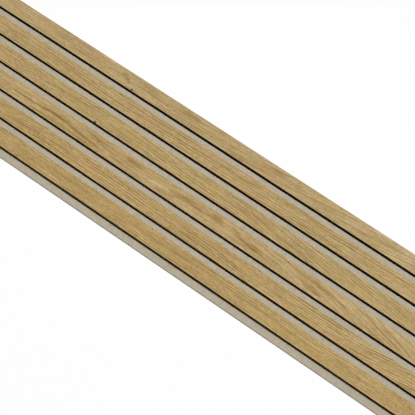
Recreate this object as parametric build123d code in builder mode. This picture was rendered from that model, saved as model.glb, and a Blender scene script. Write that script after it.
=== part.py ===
"""Acoustic slat panel: veneered MDF slats glued to a board of grey polyester felt.

The panel lies face up. X runs along the slats, Y across them and Z up, with the origin at the
centre of the felt's back face. Slat 1 is the one at the +Y edge. Sizes are in millimetres.
"""

import os

from build123d import *

os.makedirs("parts", exist_ok=True)

# Driving sizes

panel_length = 1200.0
slat_count = 6
slat_width = 28.0
groove_width = 12.0
slat_height = 12.0  # core and veneer together
veneer_thickness = 0.6
veneer_arris = 0.25  # sanded round along the veneer's top edges
felt_thickness = 9.0

# Sizes that follow

slat_pitch = slat_width + groove_width
panel_width = slat_count * slat_pitch  # leaves a groove's width of felt bare, so panels butt evenly
core_height = slat_height - veneer_thickness
core_top = felt_thickness + core_height
first_slat_y = panel_width / 2 - slat_width / 2  # slat 1 is flush with the felt's edge
end_plane = Plane.YZ.offset(-panel_length / 2)


def slat_y(index):
    """Centre line of a slat, counted from 0 at the +Y edge."""
    return first_slat_y - index * slat_pitch


# Felt backing: one board, cut square

with BuildPart() as felt_backing:
    with BuildSketch(end_plane):
        with Locations((0, felt_thickness / 2)):
            Rectangle(panel_width, felt_thickness)
    extrude(amount=panel_length)

felt_backing.part.label = "felt_backing"
export_step(felt_backing.part, "parts/felt_backing.step")


# Slat cores: black MDF bars that stand on the felt

for index in range(slat_count):
    with BuildPart() as slat_core:
        with BuildSketch(end_plane):
            with Locations((slat_y(index), felt_thickness + core_height / 2)):
                Rectangle(slat_width, core_height)
        extrude(amount=panel_length)

    slat_core.part.label = f"slat_core_{index + 1}"
    export_step(slat_core.part, f"parts/slat_core_{index + 1}.step")


# Slat veneers: oak faces, sanded round along every top edge

for index in range(slat_count):
    with BuildPart() as slat_veneer:
        with BuildSketch(end_plane):
            with Locations((slat_y(index), core_top + veneer_thickness / 2)):
                Rectangle(slat_width, veneer_thickness)
        extrude(amount=panel_length)
        face = slat_veneer.faces().sort_by(Axis.Z)[-1]
        fillet(face.edges(), veneer_arris)

    slat_veneer.part.label = f"slat_veneer_{index + 1}"
    export_step(slat_veneer.part, f"parts/slat_veneer_{index + 1}.step")
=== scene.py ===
import math

import bpy
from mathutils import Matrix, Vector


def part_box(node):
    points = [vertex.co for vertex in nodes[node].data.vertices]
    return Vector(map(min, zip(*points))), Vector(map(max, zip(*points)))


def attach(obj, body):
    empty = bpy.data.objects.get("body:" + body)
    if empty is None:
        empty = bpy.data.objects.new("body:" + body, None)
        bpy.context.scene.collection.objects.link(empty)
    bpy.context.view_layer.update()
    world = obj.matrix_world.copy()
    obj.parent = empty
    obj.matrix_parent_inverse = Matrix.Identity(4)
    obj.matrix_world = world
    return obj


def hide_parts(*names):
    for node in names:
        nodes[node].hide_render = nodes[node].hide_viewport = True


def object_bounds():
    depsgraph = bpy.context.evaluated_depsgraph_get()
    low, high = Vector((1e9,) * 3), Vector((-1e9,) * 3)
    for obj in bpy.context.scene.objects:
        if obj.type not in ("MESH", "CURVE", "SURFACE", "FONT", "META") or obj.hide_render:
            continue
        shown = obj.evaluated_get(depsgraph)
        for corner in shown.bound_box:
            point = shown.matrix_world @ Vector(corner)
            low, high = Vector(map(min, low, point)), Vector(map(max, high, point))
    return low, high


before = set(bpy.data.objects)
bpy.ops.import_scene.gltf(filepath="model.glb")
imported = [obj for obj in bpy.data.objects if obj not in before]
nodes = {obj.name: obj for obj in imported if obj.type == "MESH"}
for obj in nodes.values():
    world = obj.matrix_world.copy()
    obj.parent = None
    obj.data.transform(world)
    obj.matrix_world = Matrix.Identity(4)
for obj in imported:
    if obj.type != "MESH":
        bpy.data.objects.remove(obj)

cadLow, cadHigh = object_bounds()
slatCount = sum(name.startswith("slat_core_") for name in nodes)
millimetres = 1000.0  # in a metre: every pattern below is laid out in millimetres
panelLength = (cadHigh.x - cadLow.x) * millimetres
print("frame loaded,", len(nodes), "nodes")


def fromScreen(red, green, blue):
    # a colour as seen on screen, 0 to 255, to the linear one that a shader takes
    parts = [part / 255 for part in (red, green, blue)]
    linear = [part / 12.92 if part <= 0.04045 else ((part + 0.055) / 1.055) ** 2.4 for part in parts]
    return (*linear, 1.0)


def addNode(tree, kind, settings=None, inputs=None, out=0):
    node = tree.nodes.new(kind)
    for name, value in (settings or {}).items():
        if name == "stops":  # a colour ramp
            ramp = node.color_ramp
            while len(ramp.elements) < len(value):
                ramp.elements.new(0.5)
            for element, (position, colour) in zip(ramp.elements, value):
                element.position = position
                element.color = colour
        elif name == "points":  # a float curve
            curve = node.mapping.curves[0]
            while len(curve.points) < len(value):
                curve.points.new(0.5, 0.5)
            for point, place in zip(curve.points, value):
                point.location = place
            node.mapping.update()
        else:
            setattr(node, name, value)
    for name, value in (inputs or {}).items():
        if isinstance(value, Wire):
            tree.links.new(value.socket, node.inputs[name])
        else:
            node.inputs[name].default_value = value
    return Wire(tree, node.outputs[out]) if node.outputs else None


class Wire:
    # what comes out of a shader's node, to be added, multiplied and so on like a number
    def __init__(self, tree, socket):
        self.tree = tree
        self.socket = socket

    def math(self, operation, first, second=0.0):
        return addNode(self.tree, "ShaderNodeMath", {"operation": operation}, {0: first, 1: second})

    def __add__(self, other):
        return self.math("ADD", self, other)

    def __radd__(self, other):
        return self.math("ADD", other, self)

    def __sub__(self, other):
        return self.math("SUBTRACT", self, other)

    def __rsub__(self, other):
        return self.math("SUBTRACT", other, self)

    def __mul__(self, other):
        return self.math("MULTIPLY", self, other)

    def __rmul__(self, other):
        return self.math("MULTIPLY", other, self)

    def __truediv__(self, other):
        return self.math("DIVIDE", self, other)

    def __rtruediv__(self, other):
        return self.math("DIVIDE", other, self)

    def __abs__(self):
        return self.math("ABSOLUTE", self)

    def node(self, kind, settings=None, inputs=None, out=0):
        return addNode(self.tree, kind, settings, inputs, out)

    def swing(self, weight):
        # noise lies about 0.5: this makes it lie about 0, and weights it
        return (self - 0.5) * weight

    def span(self, low, high, lowOut=0.0, highOut=1.0, smooth=True):
        # carries low..high over to lowOut..highOut and holds it there
        return addNode(self.tree, "ShaderNodeMapRange",
                       {"interpolation_type": "SMOOTHSTEP" if smooth else "LINEAR"},
                       {0: self, 1: low, 2: high, 3: lowOut, 4: highOut})

    def curve(self, points, reach):
        # a line drawn over the panel's length: points are (along, height) in mm, heights within reach
        along = addNode(self.tree, "ShaderNodeMapRange", {"clamp": True},
                        {0: self, 1: -panelLength / 2, 2: panelLength / 2, 3: 0.0, 4: 1.0})
        places = [(x / panelLength + 0.5, y / reach / 2 + 0.5) for x, y in points]
        height = addNode(self.tree, "ShaderNodeFloatCurve", {"points": places}, {"Value": along})
        return height.swing(2 * reach)


def joined(x, y, z):
    return addNode(x.tree, "ShaderNodeCombineXYZ", None, {0: x, 1: y, 2: z})


def split(place):
    node = place.node("ShaderNodeSeparateXYZ", None, {0: place}).socket.node
    return [Wire(place.tree, outlet) for outlet in node.outputs]


def highest(wires):
    top = wires[0]
    for wire in wires[1:]:
        top = top.math("MAXIMUM", top, wire)
    return top


def noise(place, scale, detail=2.0, roughness=0.5, distortion=0.0):
    return place.node("ShaderNodeTexNoise", {"noise_dimensions": "3D"},
                      {"Vector": place, "Scale": scale, "Detail": detail, "Roughness": roughness,
                       "Distortion": distortion})


def mixed(factor, first, second, blend="MIX"):
    # inputs 6 and 7 and output 2 are a Mix node's colours
    tree = factor.tree if isinstance(factor, Wire) else first.tree
    return addNode(tree, "ShaderNodeMix", {"data_type": "RGBA", "blend_type": blend},
                   {0: factor, 6: first, 7: second}, out=2)


def newFinish(name):
    material = bpy.data.materials.new(name)
    material.use_nodes = True
    tree = material.node_tree
    surface = next(node for node in tree.nodes if node.type == "BSDF_PRINCIPLED")
    metres = addNode(tree, "ShaderNodeTexCoord", out="Object")
    place = addNode(tree, "ShaderNodeVectorMath", {"operation": "SCALE"}, {0: metres, 3: millimetres})
    return material, surface, place


def facing(tree):
    # which way the surface points, as x, y and z
    return split(addNode(tree, "ShaderNodeTexCoord", out="Normal"))


def bumped(height, strength, depth):
    return height.node("ShaderNodeBump", None, {"Height": height, "Strength": strength, "Distance": depth})


def plug(surface, **inputs):
    # links or sets the shader's sockets, whose names are written here without spaces
    for name, value in inputs.items():
        socket = next(entry for entry in surface.inputs if entry.name.replace(" ", "") == name)
        if isinstance(value, Wire):
            value.tree.links.new(value.socket, socket)
        else:
            socket.default_value = value


def dress(name, material):
    # a piece of the frame keeps its shape and gets this finish
    node = nodes[name]
    node.data.materials.clear()
    node.data.materials.append(material)


# Camera, at the photograph's viewing angle

view = {
    "lens": 95.4,  # mm
    "place": (0.3671, -0.4771, 1.6527),  # metres
    "lean": 19.598,  # degrees away from straight down
    "turn": 35.146,
    "farthest": 50,  # metres
}

camera = bpy.data.objects.new("camera", bpy.data.cameras.new("camera"))
bpy.context.scene.collection.objects.link(camera)
camera.data.lens = view["lens"]
camera.data.clip_end = view["farthest"]
camera.location = view["place"]
camera.rotation_euler = (math.radians(view["lean"]), 0, math.radians(view["turn"]))
bpy.context.scene.camera = camera
bpy.context.scene.view_settings.view_transform = "Standard"


# Floor and light

studio = {
    "white": (1.0, 1.0, 1.0, 1.0),
    "floorSize": 16.0,  # metres, as the next one is
    "floorGap": 0.0002,  # keeps the floor clear of the felt's underside
    "floorColour": (0.86, 0.86, 0.86, 1.0),
    "floorGlow": 0.93,  # share of the floor that shows as plain white, so its shadow is faint
    "skyLight": 0.22,
    "keyLight": 1.02,  # at 1, a small lamp of this power would light a level white face to white
    "keySize": (3.0, 0.20),  # a long strip light, hung along the panel above its first slat
    "keyPlace": (0.0, 0.10, 2.4),
}


def shownRays(tree):
    # 1 on rays that show a thing to the camera, straight, in a gloss or through glass, and 0 on the rest
    rays = addNode(tree, "ShaderNodeLightPath").socket.node
    straight, glossy, through = (Wire(tree, rays.outputs[f"Is {kind} Ray"])
                                 for kind in ("Camera", "Glossy", "Transmission"))
    return straight + glossy + through


def layFloor():
    bpy.ops.object.select_all(action="DESELECT")
    level = cadLow.z - studio["floorGap"]
    bpy.ops.mesh.primitive_plane_add(size=studio["floorSize"], location=(0, 0, level))
    floor = bpy.context.object
    floor.name = "floor"
    bpy.ops.object.transform_apply(location=True)
    material = bpy.data.materials.new("floor_white")
    material.use_nodes = True
    tree = material.node_tree
    tree.nodes.clear()
    matt = addNode(tree, "ShaderNodeBsdfDiffuse", None, {"Color": studio["floorColour"]})
    glow = addNode(tree, "ShaderNodeEmission", None, {"Color": studio["white"], "Strength": 1.0})
    share = shownRays(tree) * studio["floorGlow"]
    white = addNode(tree, "ShaderNodeMixShader", None, {0: share, 1: matt, 2: glow})
    behind = addNode(tree, "ShaderNodeNewGeometry", out="Backfacing")
    clear = addNode(tree, "ShaderNodeBsdfTransparent")
    oneSided = addNode(tree, "ShaderNodeMixShader", None, {0: behind, 1: white, 2: clear})
    addNode(tree, "ShaderNodeOutputMaterial", None, {0: oneSided})
    floor.data.materials.append(material)


def lightRoom():
    world = bpy.data.worlds.new("room")
    bpy.context.scene.world = world
    world.use_nodes = True
    tree = world.node_tree
    tree.nodes.clear()
    strength = shownRays(tree).span(0, 1, studio["skyLight"], 1.0, smooth=False)
    sky = addNode(tree, "ShaderNodeBackground", None, {"Color": studio["white"], "Strength": strength})
    addNode(tree, "ShaderNodeOutputWorld", None, {0: sky})

    lamp = bpy.data.lights.new("key", "AREA")
    lamp.shape = "RECTANGLE"
    lamp.size, lamp.size_y = studio["keySize"]
    lamp.energy = studio["keyLight"] * (math.pi * studio["keyPlace"][2]) ** 2
    key = bpy.data.objects.new("key", lamp)
    key.location = studio["keyPlace"]
    bpy.context.scene.collection.objects.link(key)


layFloor()
lightRoom()
print("camera, floor and light set")


# Oak veneer: every slat is cut from its own sheet, so each has its own grain

oak = {
    "tones": [(0.0, fromScreen(96, 71, 34)),  # from the pores to the palest wood
              (0.32, fromScreen(142, 116, 66)),
              (0.60, fromScreen(166, 142, 95)),
              (1.0, fromScreen(201, 180, 137))],
    "rose": fromScreen(184, 142, 95),
    "gold": fromScreen(174, 145, 79),
    "heart": fromScreen(131, 95, 5),  # streaks and smudges
    "heartShare": 0.8,
    "knot": fromScreen(50, 37, 24),
    "edge": fromScreen(34, 23, 12),  # the veneer's cut edge, stained by the black board under it
    "edgeTurn": (0.6, 0.95, 0.0, 0.9),  # from where to where it shows as the surface turns sideways
    "warmest": (0.975, 0.912, 0.73, 1.0),  # what the warmest slat is tinted by
    # painted light: the oak is painted paler towards both ends of the panel, as though lit more there
    "endMiddle": -60,  # the wood gets paler on both sides of this place along the panel,
    "endSpan": (160, 420),  # between these distances from it,
    "endLift": 0.045,  # by this much
    "roughness": 0.52,
    "poreRoughness": 0.2,  # the pores are rougher by this much
    "specular": 0.25,
    "bump": 0.35,
    "bumpDepth": 0.00006,  # metres
}

# The grain's layers of noise: how often each repeats in a millimetre along and across the grain, which
# noise it is, its detail and its roughness

grainLayers = {
    "wander": (0.011, 0.05, 0, 2.0, 0.5),  # how the grain strays from the run drawn for it
    "bands": (0.0042, 0.20, 2, 1.0, 0.5),
    "lines": (0.012, 0.52, 4, 1.0, 0.5),
    "hairs": (0.022, 0.85, 5, 2.0, 0.6),
    "dashes": (0.11, 1.1, 20, 1.0, 0.5),
    "fibre": (0.09, 3.2, 6, 2.0, 0.6),
    "cloud": (0.012, 0.055, 8, 2.0, 0.5),
    "pores": (0.20, 5.2, 10, 1.0, 0.5),
    "hairPores": (0.34, 8.0, 22, 1.0, 0.5),
    "breaks": (0.05, 1.3, 12, 2.0, 0.5),  # breaks up the streaks
    "blush": (0.009, 0.09, 14, 1.0, 0.5),  # where the wood turns rose or gold
    "ringDrift": (0.002, 0.07, 16, 1.0, 0.5),
    "ringStrength": (0.009, 3.7, 18, 1.0, 0.5),
}

# The layers that are stretched: which stretch of the noise, and what its two ends become if not 0 and 1

grainSpans = {
    "lines": (0.30, 0.70),
    "pores": (0.60, 0.66),
    "hairPores": (0.58, 0.63),
    "breaks": (0.25, 0.62, 0.55, 1.15),
    "rose": (0.50, 0.75, 0.0, 0.35),
    "gold": (0.25, 0.50, 0.35, 0.0),
    "ringStrength": (0.35, 0.62, 0.5, 1.0),
}

# What each does to the wood's tone, which is 0 in a pore and 1 in the palest wood

weights = {
    "bands": 0.05,
    "lines": 0.14,
    "hairs": 1.0,
    "dashes": 0.8,
    "rows": 0.44,
    "ringMiddle": 0.25,  # the rings' own average, so that their rows leave the sheet's tone as it is
    "fibre": 0.5,
    "speckle": 0.4,
    "cloud": 0.42,
    "pores": 0.38,
    "ringPores": 0.8,  # share of the pores that lie in the rings' rows,
    "loosePores": 0.2,  # and between them
    "ringHairPores": 0.5,
    "looseHairPores": 0.3,
    "figure": 0.28,
    "lift": 0.033,  # gives back what the pores and the figure take
    "lineRelief": 0.4,  # what stands up against the pores, which go down by 1
    "fibreRelief": 0.5,
}

# How the drawn run and figure are laid on, in millimetres where nothing else is said

drawing = {
    "runReach": 100,  # more than a run climbs
    "streakReach": 20,  # more than a streak strays from the slat's centre line
    "wander": 2.6,  # how far the grain strays from its run
    "ragged": 2.0,  # how far the edges of streaks and smudges run out along the fibres
    "fibreShows": 1.5,  # less the fibres' noise: how strongly the figure shows, most on the dark fibres
    "streakFade": 22.0,  # over how much of its two ends a streak fades, or over a third if it is short
    "streakSides": (0.3, 2.3),  # from where to where it fades to its sides, in half widths
    "spotSides": (0.05, 1.1),  # the same for smudges, pale places and knots, in squares of half sizes
    "ringDrift": 1.4,  # how far the rings' spacing strays, in rings
    "ringSides": (0.14, 0.5),  # from where to where a ring darkens, in rings from its middle
    "speckle": (0.36, 1.0),  # how often it repeats in a millimetre, and its detail
}

# The six sheets, in millimetres
#
# warm, light, rings: how much the sheet is tinted, how light it is, and its growth rings to a millimetre
# rows, lines, cloud: how strongly the rings' rows of pores, the fine lines and the soft shading show
# seed: where in the noise it lies
# run: how far the grain has climbed across the slat, at places along it
# streaks: dark lines of the figure: their path as (along, across) places from the slat's centre line,
# their half width and how dark they are
# marks: soft brown smudges, as (along, across, half length, half width, darkness)
# pale: where the sheet is lighter, in the same way
# knots: small dark pin knots, in the same way, fully dark where the last is left out

slats = [
    {"warm": 0.0, "light": 0.613, "rings": 0.22, "rows": 0.5, "lines": 0.76, "cloud": 1.2, "seed": 3.1,
     "run": [(-600, -4), (-300, 0), (0, 0), (60, 5), (180, 20), (300, 36), (420, 52), (600, 66)],
     "streaks": [
         {"path": [(0, -10.8), (39, -9.9), (64, -7.4), (89, -5.7)], "half": 1.0, "dark": 0.30},
         {"path": [(26, -3.7), (64, 0.5), (84, 4.7), (122, 11.3)], "half": 2.0, "dark": 0.28},
         {"path": [(136, -4.9), (164, -2.0), (216, 5.5), (252, 9.2)], "half": 1.0, "dark": 0.25},
         {"path": [(201, -5.3), (251, -3.2), (276, 0.5), (321, 5.5)], "half": 1.0, "dark": 0.28},
         {"path": [(290, -12.0), (309, -8.2), (349, -2.8), (380, 1.0)], "half": 0.9, "dark": 0.32}],
     "marks": [(-211, 4.0, 8, 4.0, 0.55), (-204, 0.0, 5, 4.0, 0.60), (-199, -4.5, 3.5, 3.0, 0.45),
               (-76, 4.2, 30, 6, 0.42), (-60, -8, 20, 3, 0.2), (-30, 3, 34, 9, 0.08),
               (91, 5.5, 18, 5, 0.43)],
     "pale": [(300, 0, 90, 30, 0.07)],
     "knots": [(-186.5, -11.9, 3.8, 1.9), (-180, -10.6, 2.4, 1.1, 0.45)]},
    {"warm": 0.4, "light": 0.596, "rings": 0.245, "rows": 0.75, "lines": 0.93, "cloud": 0.1, "seed": 11.7,
     "run": [(-600, 4), (-420, 1.5), (-304, 0), (-208, -2.6), (-136, -1.6), (-36, 1.7), (26, 3.2),
             (84, 5.4), (212, 11.2), (330, 14), (600, 18)],
     "streaks": [
         {"path": [(-304, -0.4), (-248, -1.7), (-208, -2.9), (-136, -1.7), (-36, 1.7), (-11, 3.3),
                   (34, 2.9), (84, 5.4)], "half": 0.9, "dark": 0.28},
         {"path": [(114, 6.7), (151, 9.2), (212, 11.2)], "half": 0.9, "dark": 0.25},
         {"path": [(161, 5.0), (201, 5.8), (236, 9.2), (262, 12.2)], "half": 1.0, "dark": 0.20}],
     "marks": [],
     "pale": [],
     "knots": [(-195, 11.2, 3.2, 1.1, 0.7)]},
    {"warm": 0.5, "light": 0.603, "rings": 0.25, "rows": 0.65, "lines": 0.94, "cloud": 0.2, "seed": 23.4,
     "run": [(-600, 2), (-300, 0), (-250, 0.3), (-205, 2.5), (-150, 0.5), (-62, -3.5), (16, -6.5),
             (76, -7.5), (142, -13), (227, -22), (320, -33), (430, -44), (600, -56)],
     "streaks": [
         {"path": [(-178, -2.2), (-134, -7.2), (-63, -10.0)], "half": 0.9, "dark": 0.28},
         {"path": [(16, -0.5), (76, -1.3), (89, -2.6), (106, -8.0)], "half": 0.9, "dark": 0.26},
         {"path": [(84, 5.3), (101, 3.2), (141, -2.2), (151, -4.7), (189, -7.2), (226, -11.3)],
          "half": 0.9, "dark": 0.34}],
     "marks": [],
     "pale": [],
     "knots": [(-201, -12.6, 3.4, 2.2)]},
    {"warm": 0.45, "light": 0.64, "rings": 0.16, "rows": 0.3, "lines": 0.90, "cloud": 1.1, "seed": 31.9,
     "run": [(-600, -6), (-373, -5), (-343, -2), (-268, 1), (-198, -5), (-150, -7), (-80, -7), (0, 0),
             (60, 1), (131, -4), (201, -13), (251, -22), (321, -36), (430, -56), (600, -78)],
     "streaks": [
         {"path": [(-350, -1.6), (-315, -2.2), (-292, -1.2), (-262, 1.2), (-236, 0.2), (-214, -3.0),
                   (-192, -4.6), (-170, -6.0), (-150, -7.4)], "half": 1.3, "dark": 0.62},
         {"path": [(-300, -1.8), (-284, -0.7), (-262, 1.3), (-244, 0.9), (-224, -1.4)],
          "half": 1.8, "dark": 0.95},
         {"path": [(-244, 0.4), (-214, -3.0), (-192, -4.6), (-162, -6.4)], "half": 1.8, "dark": 0.74},
         {"path": [(-314, -10.3), (-293, -10.2), (-261, -9.3), (-228, -9.6), (-198, -11.2), (-173, -11.7)],
          "half": 1.2, "dark": 0.62},
         {"path": [(-206, 6.6), (-190, 7.0), (-176, 4.8), (-160, 3.0)], "half": 1.8, "dark": 0.38},
         {"path": [(-152, -6.0), (-136, -6.5), (-116, -5.4)], "half": 1.2, "dark": 0.45},
         {"path": [(-127, 10.0), (-116, 7.0), (-104, 6.4), (-84, 8.6)], "half": 2.5, "dark": 0.46},
         {"path": [(-64, -8.4), (-40, -7.4), (-26, -4.8), (-14, 0.6), (-4, 3.4), (19, 2.4), (46, 1.8)],
          "half": 2.2, "dark": 0.47},
         {"path": [(22, 2.4), (38, 3.0), (52, 2.6), (62, 1.0), (78, -1.0)], "half": 1.1, "dark": 0.46},
         {"path": [(76, 9.0), (92, 5.0), (106, -0.6), (122, -3.6), (140, -5.0)], "half": 2.2, "dark": 0.50},
         {"path": [(152, 12.4), (184, 10.6), (222, 6.6), (262, 3.6), (300, 0.5)],
          "half": 0.85, "dark": 0.56},
         {"path": [(204, 3.2), (219, -1.8), (236, -3.5), (262, -6.0)], "half": 1.1, "dark": 0.52},
         {"path": [(221, 11.9), (251, 6.9), (284, 1.5), (306, -3.5), (321, -8.9)],
          "half": 0.85, "dark": 0.62},
         {"path": [(301, 11.9), (339, 6.9), (356, 1.5), (391, -6.0), (410, -12.0)],
          "half": 0.85, "dark": 0.66},
         {"path": [(344, 12.3), (364, 7.3), (391, 1.5), (411, -5.2), (428, -11.0)],
          "half": 0.85, "dark": 0.60}],
     "marks": [(-16, 1.4, 22, 5.0, 0.34), (56, 5.0, 15, 7.5, 0.52), (55, 4.6, 10, 3.4, 0.66),
               (128, -2.6, 22, 6.0, 0.44), (130, -4.2, 12, 2.7, 0.84), (240, -6.5, 22, 4.0, 0.47),
               (249, -7.6, 11, 2.8, 0.80)],
     "pale": [(-255, 7.5, 60, 4, 0.04)],
     "knots": [(-341, -2.8, 1.6, 1.1), (187, 11.0, 1.5, 1.0)]},
    {"warm": 0.85, "light": 0.594, "rings": 0.27, "rows": 0.9, "lines": 1.08, "cloud": 0.06, "seed": 47.2,
     "run": [(-600, -12), (-420, -7), (-331, -4.3), (-273, -1.8), (-248, 0.2), (-128, 0.2), (-98, -0.6),
             (26, -1.5), (81, -2), (121, -4), (189, -7), (300, -7), (351, -5.5), (381, -1), (440, 7),
             (600, 20)],
     "streaks": [
         {"path": [(-331, -4.3), (-273, -1.8), (-248, 0.2), (-128, 0.2)], "half": 0.9, "dark": 0.24},
         {"path": [(-243, -8.1), (-211, -6.9), (-116, -7.7)], "half": 0.9, "dark": 0.28},
         {"path": [(81, 1.1), (121, -1.0), (141, -2.2), (189, -3.9)], "half": 0.9, "dark": 0.30},
         {"path": [(222, 9.4), (251, 7.7), (291, 8.2), (307, 12.0)], "half": 1.2, "dark": 0.25}],
     "marks": [(246, 12.4, 22, 1.6, 0.6)],
     "pale": [],
     "knots": []},
    {"warm": 1.0, "light": 0.597, "rings": 0.30, "rows": 0.75, "lines": 1.04, "cloud": 0.12, "seed": 59.8,
     "run": [(-600, 3), (-290, 0.6), (-248, 0), (-148, 0.6), (-61, 0.8), (1, -0.8), (64, 0), (201, -0.6),
             (276, -1.8), (316, -0.4), (430, 3), (600, 5)],
     "streaks": [
         {"path": [(-290, 3.1), (-248, 2.3), (-228, 3.5), (-148, 3.1)], "half": 1.0, "dark": 0.24},
         {"path": [(-61, 3.5), (-23, 2.2), (26, 1.4), (64, 2.7), (201, 1.8), (276, 0.2), (316, 1.8)],
          "half": 1.2, "dark": 0.28},
         {"path": [(31, 10.1), (61, 10.4), (91, 9.9), (114, 9.4)], "half": 0.8, "dark": 0.40}],
     "marks": [],
     "pale": [(245, 2, 110, 20, 0.03)],
     "knots": [(-17, 12.6, 1.3, 1.0)]},
]


def streak(along, across, path, half, dark):
    # one dark line of the figure, soft at its sides and its ends
    first, last = path[0][0], path[-1][0]
    fade = min(drawing["streakFade"], (last - first) / 3)
    ends = along.span(first, first + fade) * along.span(last - fade, last, 1.0, 0.0)
    away = abs(across - along.curve(path, drawing["streakReach"]))
    inner, outer = (half * side for side in drawing["streakSides"])
    return away.span(inner, outer, dark, 0.0) * ends


def spot(along, across, x, y, halfLong, halfWide, strength=1.0):
    # an oval with soft edges
    flat = ((along - x) / halfLong) * ((along - x) / halfLong)
    flat = flat + ((across - y) / halfWide) * ((across - y) / halfWide)
    return flat.span(*drawing["spotSides"], strength, 0.0)


def grainLayer(name, along, across, seed):
    # one of the layers above, laid along the grain where across follows it
    perAlong, perAcross, which, detail, roughness = grainLayers[name]
    return noise(joined(along * perAlong, across * perAcross, seed + which), 1.0, detail, roughness)


def growthRings(along, grain, slat):
    # dark rows of pores, one to each growth ring, some stronger than others
    drift = grainLayer("ringDrift", along, grain, slat["seed"]).swing(drawing["ringDrift"])
    place = grain * slat["rings"] + drift
    within = abs(place.math("FRACT", place) - 0.5)
    number = place.math("FLOOR", place + 0.5)  # changes where a ring's line is faintest
    strength = grainLayer("ringStrength", along, number, slat["seed"]).span(*grainSpans["ringStrength"])
    return within.span(*drawing["ringSides"]) * strength


def oakFigure(along, across, grain, fibre, slat):
    # the streaks and smudges drawn for this slat, broken up along the grain
    across = across + fibre.swing(drawing["ragged"])
    breaks = grainLayer("breaks", along, grain, slat["seed"]).span(*grainSpans["breaks"])
    figure = highest([streak(along, across, **entry) for entry in slat["streaks"]]) * breaks
    figure = highest([figure] + [spot(along, across, *entry) for entry in slat["marks"]])
    return figure * (drawing["fibreShows"] - fibre)


def oakFinish(number, slat):
    low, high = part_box(f"slat_veneer_{number}")
    centre = (low.y + high.y) / 2 * millimetres
    material, surface, place = newFinish(f"oak_{number}")
    along, y = split(place)[:2]
    across = y - centre
    grain = across - along.curve(slat["run"], drawing["runReach"])  # constant along one line of grain
    grain = grain + grainLayer("wander", along, across, slat["seed"]).swing(drawing["wander"])
    rings = growthRings(along, grain, slat)
    bands, lines, hairs, dashes, fibre, pores, hairPores = (
        grainLayer(name, along, grain, slat["seed"])
        for name in ("bands", "lines", "hairs", "dashes", "fibre", "pores", "hairPores"))
    cloud, blush = (grainLayer(name, along, across, slat["seed"]) for name in ("cloud", "blush"))
    speckle = noise(place, *drawing["speckle"])
    crowded = rings * weights["ringPores"] + weights["loosePores"]
    hairsCrowded = rings * weights["ringHairPores"] + weights["looseHairPores"]
    pores = pores.span(*grainSpans["pores"]) * crowded
    pores = pores + hairPores.span(*grainSpans["hairPores"]) * hairsCrowded
    figure = oakFigure(along, across, grain, fibre, slat)

    tone = bands.swing(weights["bands"]) + lines.span(*grainSpans["lines"]).swing(weights["lines"])
    tone = tone + hairs.swing(weights["hairs"]) + dashes.swing(weights["dashes"])
    tone = tone + (weights["ringMiddle"] - rings) * (weights["rows"] * slat["rows"])
    tone = tone * slat["lines"]
    tone = tone + fibre.swing(weights["fibre"]) + speckle.swing(weights["speckle"])
    tone = tone + cloud.swing(weights["cloud"] * slat["cloud"]) + slat["light"]
    tone = tone - pores * weights["pores"] - figure * weights["figure"] + weights["lift"]
    # painted light: the wood is made paler towards both ends of the panel
    tone = tone + abs(along - oak["endMiddle"]).span(*oak["endSpan"], 0.0, oak["endLift"])
    for entry in slat["pale"]:
        tone = tone + spot(along, across, *entry)

    colour = tone.node("ShaderNodeValToRGB", {"stops": oak["tones"]}, {0: tone})
    for tint in ("rose", "gold"):
        colour = mixed(blush.span(*grainSpans[tint]), colour, oak[tint])
    colour = mixed(figure * oak["heartShare"], colour, oak["heart"])
    for entry in slat["knots"]:
        colour = mixed(spot(along, across, *entry), colour, oak["knot"])
    colour = mixed(slat["warm"], colour, oak["warmest"], "MULTIPLY")
    sideways = abs(facing(place.tree)[1]).span(*oak["edgeTurn"])
    colour = mixed(sideways, colour, oak["edge"])
    relief = lines.swing(weights["lineRelief"]) + fibre.swing(weights["fibreRelief"]) - pores
    plug(surface, BaseColor=colour, Roughness=oak["roughness"] + pores * oak["poreRoughness"],
         Normal=bumped(relief, oak["bump"], oak["bumpDepth"]), SpecularIORLevel=oak["specular"])
    return material


for number, slat in enumerate(slats[:slatCount], start=1):
    dress(f"slat_veneer_{number}", oakFinish(number, slat))
print("veneers finished")


# Black MDF: dyed right through, with pressed fibres that show on its cut ends and faintly on its sides

mdf = {
    "black": fromScreen(9, 6, 4),
    "fibre": fromScreen(58, 50, 42),
    # repeats in a millimetre along x, y and z, the noise's detail and roughness, and which stretch of it
    # shows and how strongly: as flecks on the ends, between the flecks, and on the sides
    "flecks": {"repeats": (2.2, 1.1, 7.0), "detail": 1.0, "rough": 0.5,
               "span": (0.60, 0.78), "share": 0.7},
    "pressed": {"repeats": (3.0, 1.6, 5.0), "detail": 3.0, "rough": 0.6,
                "span": (0.35, 0.75), "share": 0.35},
    "sides": {"repeats": (0.5, 1.5, 4.0), "detail": 2.0, "rough": 0.6,
              "span": (0.52, 0.75), "share": 0.14},
    "endTurn": (0.5, 0.9),  # from where to where the ends' fibres show as the surface turns endways
    "roughness": 0.86,
    "roughnessSpread": 0.1,  # the fibres are rougher by this much
    "specular": 0.06,
    "bump": 0.4,
    "bumpDepth": 0.00008,  # metres
}


def mdfPattern(parts, entry):
    # the pattern itself, and how much of the fibres' colour it lets show
    place = joined(*(part * repeat for part, repeat in zip(parts, entry["repeats"])))
    pattern = noise(place, 1.0, entry["detail"], entry["rough"])
    return pattern, pattern.span(*entry["span"]) * entry["share"]


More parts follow.
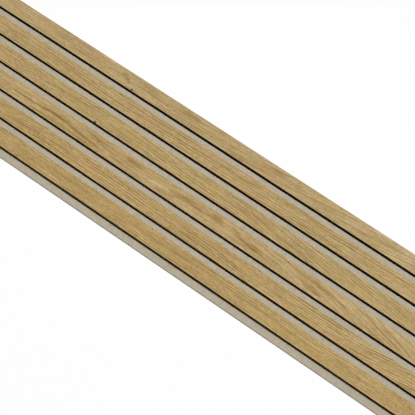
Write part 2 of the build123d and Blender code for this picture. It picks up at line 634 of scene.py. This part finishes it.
def mdfFinish():
    material, surface, place = newFinish("black_mdf")
    parts = split(place)
    pressed, between = mdfPattern(parts, mdf["pressed"])
    flecks = mdfPattern(parts, mdf["flecks"])[1]
    onSides = mdfPattern(parts, mdf["sides"])[1]
    share = abs(facing(place.tree)[0]).span(*mdf["endTurn"]) * (flecks + between) + onSides
    plug(surface, BaseColor=mixed(share, mdf["black"], mdf["fibre"]),
         Roughness=mdf["roughness"] + pressed * mdf["roughnessSpread"],
         Normal=bumped(pressed, mdf["bump"], mdf["bumpDepth"]), SpecularIORLevel=mdf["specular"])
    return material


blackBoard = mdfFinish()
for number in range(1, slatCount + 1):
    dress(f"slat_core_{number}", blackBoard)
print("cores finished")


# Felt board: needled grey fibres, soft at its cut edges, with a slightly uneven face in the grooves

felt = {
    "edgeRound": 0.0007,  # metres, as the next seven are
    "alongStep": 0.0022,
    "acrossStep": 0.0014,
    "relief": 0.00022,
    "lumpSize": 0.004,
    "underSlat": 0.0004,  # the face stays level under a slat and this far beside it
    "faceDepth": 0.0001,  # what lies within this of the top is the face
    "bumpDepth": 0.0005,
    "bump": 0.6,
    "coarseParts": 24,  # the length is divided in two goes, because one makes 100 cuts at most
    "softAngle": 50,  # degrees: sharper edges than this stay sharp
    "tones": [(0.0, fromScreen(150, 139, 118)), (0.5, fromScreen(191, 180, 157)),
              (1.0, fromScreen(212, 202, 182))],
    "darkFibre": fromScreen(98, 89, 73),
    "paleFibre": fromScreen(236, 230, 215),
    "fibreSpan": (0.68, 0.80, 0.0, 0.5),  # the noise at which they start to show, and how far they do
    "handled": (0.76, 0.78, 0.83, 1.0),  # painted shade: tints the bare strip a little darker than the grooves
    "handledSpan": (-1.0, 0.5, 0.35, 0.0),  # ends between these mm from the slat, from this share to that
    "strand": (0.16, 1.7, 1.5),  # how often the fibres repeat in a millimetre along, across and down
    "strandNoise": (1.0, 1.5, 0.6, 0.4),  # scale, detail, roughness and distortion
    "layers": [(0, 1), (37, 5), (71, 9), (104, 13), (142, 17)],  # degrees that each is turned, its noise
    "darkLayer": 1,  # the layers that have dark and pale fibres among them
    "paleLayer": 3,
    "mottle": (0.13, 3.0, 0.6),  # how often it repeats, its detail and roughness
    "speckle": (0.9, 2.0, 0.6),
    "strandMiddle": 0.62,  # what the fibres' noise lies about
    "strandTone": 1.5,  # what each does to the tone
    "mottleTone": 0.5,
    "speckleTone": 0.5,
    "speckleRelief": 0.6,
    "roughness": 0.95,
    "specular": 0.1,
    "sheen": 0.12,
    "sheenRoughness": 0.6,
}


def slatSides():
    # where each slat starts and ends across the panel, from the bare strip upwards
    boxes = [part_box(f"slat_core_{number}") for number in range(1, slatCount + 1)]
    return sorted((low.y, high.y) for low, high in boxes)


def crossLines(low, high):
    # where the board's face is divided across: fine in the open felt, once under each slat's edges
    cuts = []
    openFrom = low.y
    for slatLow, slatHigh in slatSides() + [(high.y, high.y)]:
        steps = max(1, round((slatLow - openFrom) / felt["acrossStep"]))
        cuts += [openFrom + (slatLow - openFrom) * step / steps for step in range(steps + 1)]
        openFrom = slatHigh
    return [cut for cut in cuts if low.y + felt["edgeRound"] < cut < high.y - felt["edgeRound"]]


def divideLengthwise(board, partLength, parts):
    # cuts every edge about as long as partLength, along the panel, into this many parts
    corners = board.data.vertices
    for edge in board.data.edges:
        first, second = (corners[index].co for index in edge.vertices)
        edge.select = abs(first.x - second.x) > partLength * 0.9
    bpy.ops.object.mode_set(mode="EDIT")
    bpy.ops.mesh.subdivide(number_cuts=parts - 1)
    bpy.ops.mesh.select_all(action="DESELECT")
    bpy.ops.object.mode_set(mode="OBJECT")


def roughen(board, top):
    # lumps in the open felt, the back and the sides, but none where a slat seats
    margin = felt["underSlat"]
    sides = slatSides()
    group = board.vertex_groups.new(name="open_felt")
    free = [corner.index for corner in board.data.vertices
            if corner.co.z < top - felt["faceDepth"]
            or not any(slatLow - margin < corner.co.y < slatHigh + margin for slatLow, slatHigh in sides)]
    group.add(free, 1.0, "REPLACE")
    texture = bpy.data.textures.new("felt_lumps", type="CLOUDS")
    texture.noise_scale = felt["lumpSize"]
    texture.noise_depth = 2
    lumps = board.modifiers.new("lumps", "DISPLACE")
    lumps.texture = texture
    lumps.texture_coords = "LOCAL"
    lumps.strength = felt["relief"]
    lumps.mid_level = 1.0  # only ever into the board
    lumps.vertex_group = group.name
    bpy.context.view_layer.objects.active = board
    bpy.ops.object.modifier_apply(modifier=lumps.name)


def shapeFelt():
    low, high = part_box("felt_backing")
    bpy.ops.object.select_all(action="DESELECT")
    bpy.ops.mesh.primitive_cube_add(size=1, location=(low + high) / 2, scale=high - low)
    board = bpy.context.object
    board.name = "felt_board"
    bpy.ops.object.transform_apply(location=True, rotation=True, scale=True)

    bpy.ops.object.mode_set(mode="EDIT")
    bpy.ops.mesh.select_all(action="SELECT")
    bpy.ops.mesh.bevel(offset=felt["edgeRound"], segments=2)
    for cut in crossLines(low, high):
        bpy.ops.mesh.select_all(action="SELECT")
        bpy.ops.mesh.bisect(plane_co=(0, cut, 0), plane_no=(0, 1, 0))
    bpy.ops.mesh.select_mode(type="EDGE")
    bpy.ops.mesh.select_all(action="DESELECT")
    bpy.ops.object.mode_set(mode="OBJECT")

    length = high.x - low.x
    divideLengthwise(board, length, felt["coarseParts"])
    length = length / felt["coarseParts"]
    divideLengthwise(board, length, round(length / felt["alongStep"]))
    roughen(board, high.z)
    bpy.ops.object.shade_smooth_by_angle(angle=math.radians(felt["softAngle"]))
    return board


def feltLayer(parts, degrees, which):
    # fibres that lie about one direction
    x, y, z = parts
    cosine, sine = math.cos(math.radians(degrees)), math.sin(math.radians(degrees))
    along, across, down = felt["strand"]
    place = joined((x * cosine + y * sine) * along, (y * cosine - x * sine) * across, z * down + which)
    return noise(place, *felt["strandNoise"])


def feltFinish():
    material, surface, place = newFinish("needled_felt")
    parts = split(place)
    layers = [feltLayer(parts, degrees, which) for degrees, which in felt["layers"]]
    strands = highest(layers)
    mottle = noise(place, *felt["mottle"]).swing(felt["mottleTone"])
    speckle = noise(place, *felt["speckle"])
    tone = (strands - felt["strandMiddle"]) * felt["strandTone"] + mottle
    tone = tone + speckle.swing(felt["speckleTone"]) + 0.5  # 0.5 is the felt's own colour
    colour = tone.node("ShaderNodeValToRGB", {"stops": felt["tones"]}, {0: tone})
    for layer, fibre in (("darkLayer", "darkFibre"), ("paleLayer", "paleFibre")):
        colour = mixed(layers[felt[layer]].span(*felt["fibreSpan"]), colour, felt[fibre])
    fromSlat = parts[1] - slatSides()[0][0] * millimetres
    # painted shade: the bare strip beside the last slat is tinted darker than the felt in the grooves
    colour = mixed(fromSlat.span(*felt["handledSpan"]), colour, felt["handled"], "MULTIPLY")
    relief = strands + speckle.swing(felt["speckleRelief"])
    plug(surface, BaseColor=colour, Roughness=felt["roughness"], SpecularIORLevel=felt["specular"],
         SheenWeight=felt["sheen"], SheenRoughness=felt["sheenRoughness"],
         Normal=bumped(relief, felt["bump"], felt["bumpDepth"]))
    return material


board = shapeFelt()
board.data.materials.append(feltFinish())
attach(board, "root")
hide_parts("felt_backing")
print("felt shaped,", len(board.data.polygons), "faces")
